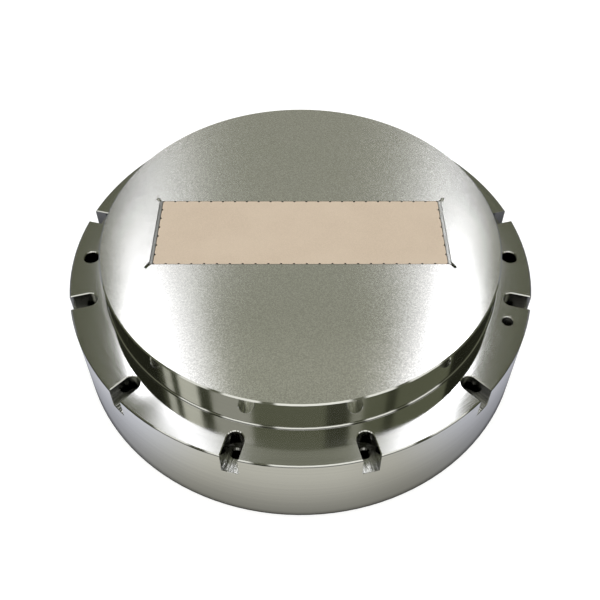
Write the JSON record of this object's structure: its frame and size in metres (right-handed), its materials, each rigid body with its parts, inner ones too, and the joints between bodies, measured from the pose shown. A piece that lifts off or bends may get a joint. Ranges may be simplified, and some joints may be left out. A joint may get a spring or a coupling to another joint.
{
  "type": "porous vacuum chuck",
  "caption": "Round flanged steel vacuum chuck with a flush oblong porous ceramic insert that holds a thin strip flat by suction.",
  "frame": {"origin": "centre of the ground face underneath, on the turning axis", "axes": "+Z along the turning axis towards the work face, X along the long side of the insert, front towards -Y"},
  "size_m": [0.38, 0.38, 0.107],
  "materials": {
    "body_steel": "finely ground top, turned and polished sides",
    "porous_ceramic": "matt, fine grained",
    "strip_steel": "ground"
  },
  "bodies": {
    "root": {"chuck_body": "body_steel", "porous_insert": "porous_ceramic", "end_strip_left": "strip_steel", "end_strip_right": "strip_steel"}
  },
  "joints": []
}
